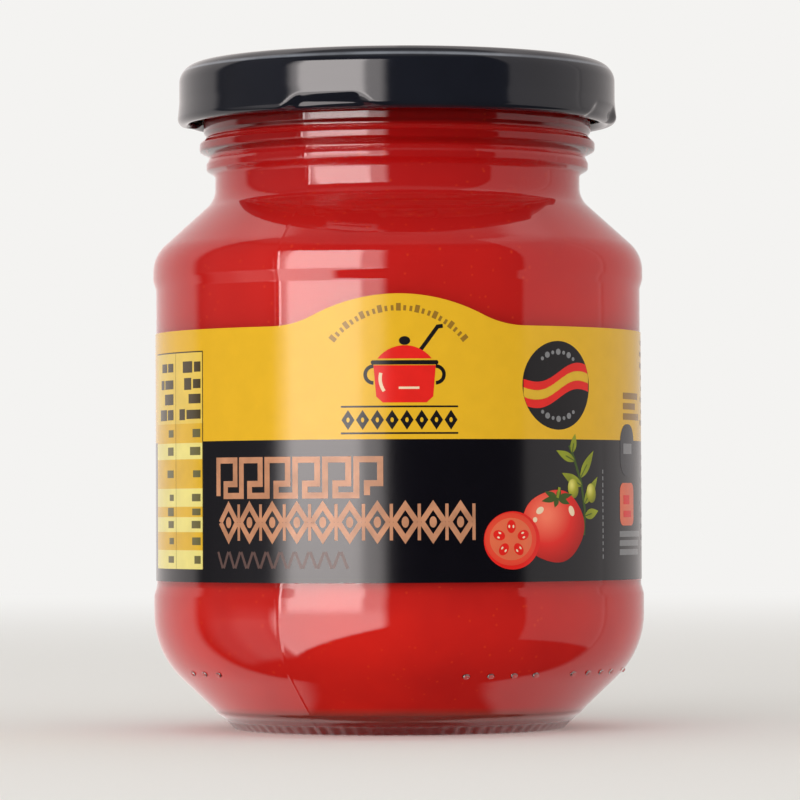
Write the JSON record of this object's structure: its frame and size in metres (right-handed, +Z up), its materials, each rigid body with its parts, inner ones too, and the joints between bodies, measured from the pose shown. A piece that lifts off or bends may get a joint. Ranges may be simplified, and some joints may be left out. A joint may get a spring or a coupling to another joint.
{
  "type": "jar of fried tomato sauce",
  "caption": "Clear glass jar of red fried tomato sauce with a black twist-off metal lid and a yellow and black wrap label.",
  "frame": {"origin": "centre of the foot ring, on the surface that the jar stands on", "axes": "+Z up along the jar's axis, -Y towards the front of the label, +X to the right seen from the front"},
  "size_m": [0.0774, 0.0774, 0.105],
  "materials": {
    "glass": "clear, smooth",
    "sauce": "wet, thick",
    "label": "satin coated paper",
    "lid": "gloss black lacquer",
    "gasket": "satin"
  },
  "bodies": {
    "root": {"glass_jar": "glass", "sauce": "sauce", "label": "label", "lid": "lid", "lid_gasket": "gasket"}
  },
  "joints": []
}
